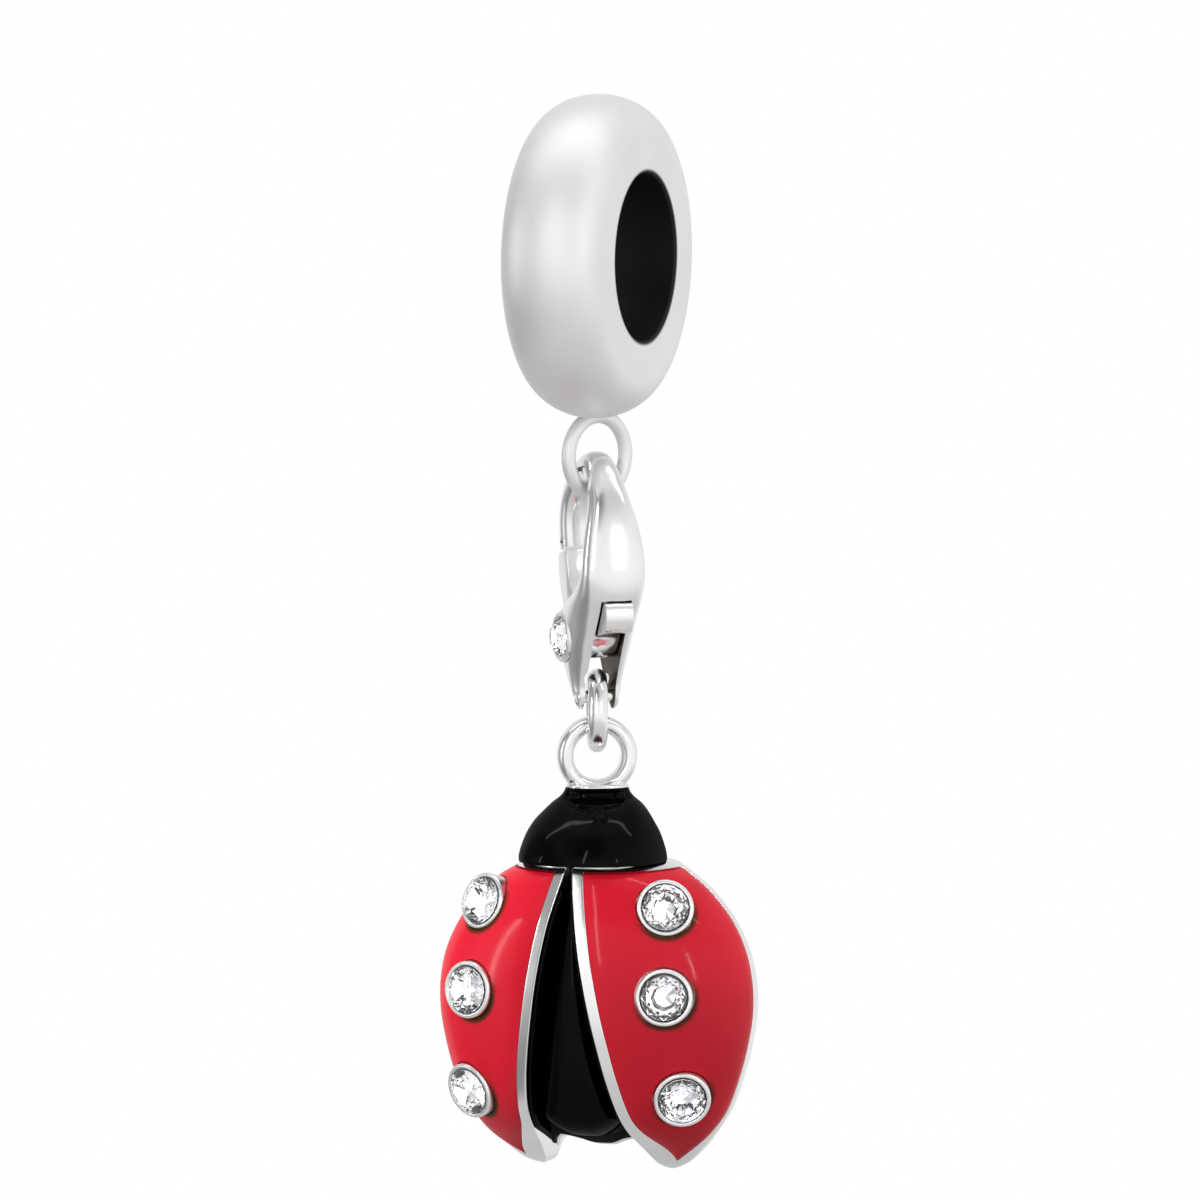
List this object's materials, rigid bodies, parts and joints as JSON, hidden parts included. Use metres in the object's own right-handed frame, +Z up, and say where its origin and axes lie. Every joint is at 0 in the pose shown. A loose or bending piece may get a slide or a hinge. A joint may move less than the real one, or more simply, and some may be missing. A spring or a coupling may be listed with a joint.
{
  "type": "ladybug dangle charm",
  "caption": "Dangle charm for a bead bracelet: a ring bead with a soldered loop, a lobster clasp, a jump ring and an enamelled ladybug set with round crystals.",
  "frame": {"origin": "centre of the bead's bore, where the bracelet passes and the charm hangs", "axes": "+X along the bead's bore, +Z up, the ladybug's front faces -Y"},
  "size_m": [0.011, 0.0108, 0.036],
  "materials": {
    "silver": "polished silver",
    "black_enamel": "glossy black enamel",
    "red_enamel": "glossy red enamel",
    "crystal": "clear cut crystal with a silvered back"
  },
  "bodies": {
    "bead": {"bead": "silver"},
    "clasp": {"clasp_body": "silver", "lever_pin": "silver", "link_pin": "silver", "clasp_cup": "silver", "clasp_crystal": "crystal"},
    "lever": {"clasp_lever": "silver"},
    "link": {"jump_ring": "silver"},
    "ladybug": {"ladybug_casting": "silver", "head_enamel": "black_enamel", "body_enamel": "black_enamel", "wing_enamel_left": "red_enamel", "wing_enamel_right": "red_enamel", "wing_cup_1": "silver", "wing_cup_2": "silver", "wing_cup_3": "silver", "wing_cup_4": "silver", "wing_cup_5": "silver", "wing_cup_6": "silver", "wing_crystal_1": "crystal", "wing_crystal_2": "crystal", "wing_crystal_3": "crystal", "wing_crystal_4": "crystal", "wing_crystal_5": "crystal", "wing_crystal_6": "crystal"}
  },
  "joints": [
    {"name": "clasp_swing", "type": "hinge", "parent": "bead", "child": "clasp", "pos_m": [0, 0, -0.00796], "axis": [0.4226, 0.9063, 0], "range_deg": [-30, 30]},
    {"name": "lever_open", "type": "hinge", "parent": "clasp", "child": "lever", "pos_m": [-0.00072, 0.00083, -0.01278], "axis": [0.7547, 0.6561, 0], "range_deg": [0, 20], "stiffness_Nm_per_rad": 0.001, "springref_deg": -5.73},
    {"name": "link_swing", "type": "hinge", "parent": "clasp", "child": "link", "pos_m": [0, 0, -0.01471], "axis": [-0.7547, -0.6561, 0], "range_deg": [-20, 35]},
    {"name": "drop_swing", "type": "hinge", "parent": "link", "child": "ladybug", "pos_m": [0, 0, -0.01626], "axis": [0.3907, -0.9205, 0], "range_deg": [-45, 45]}
  ]
}
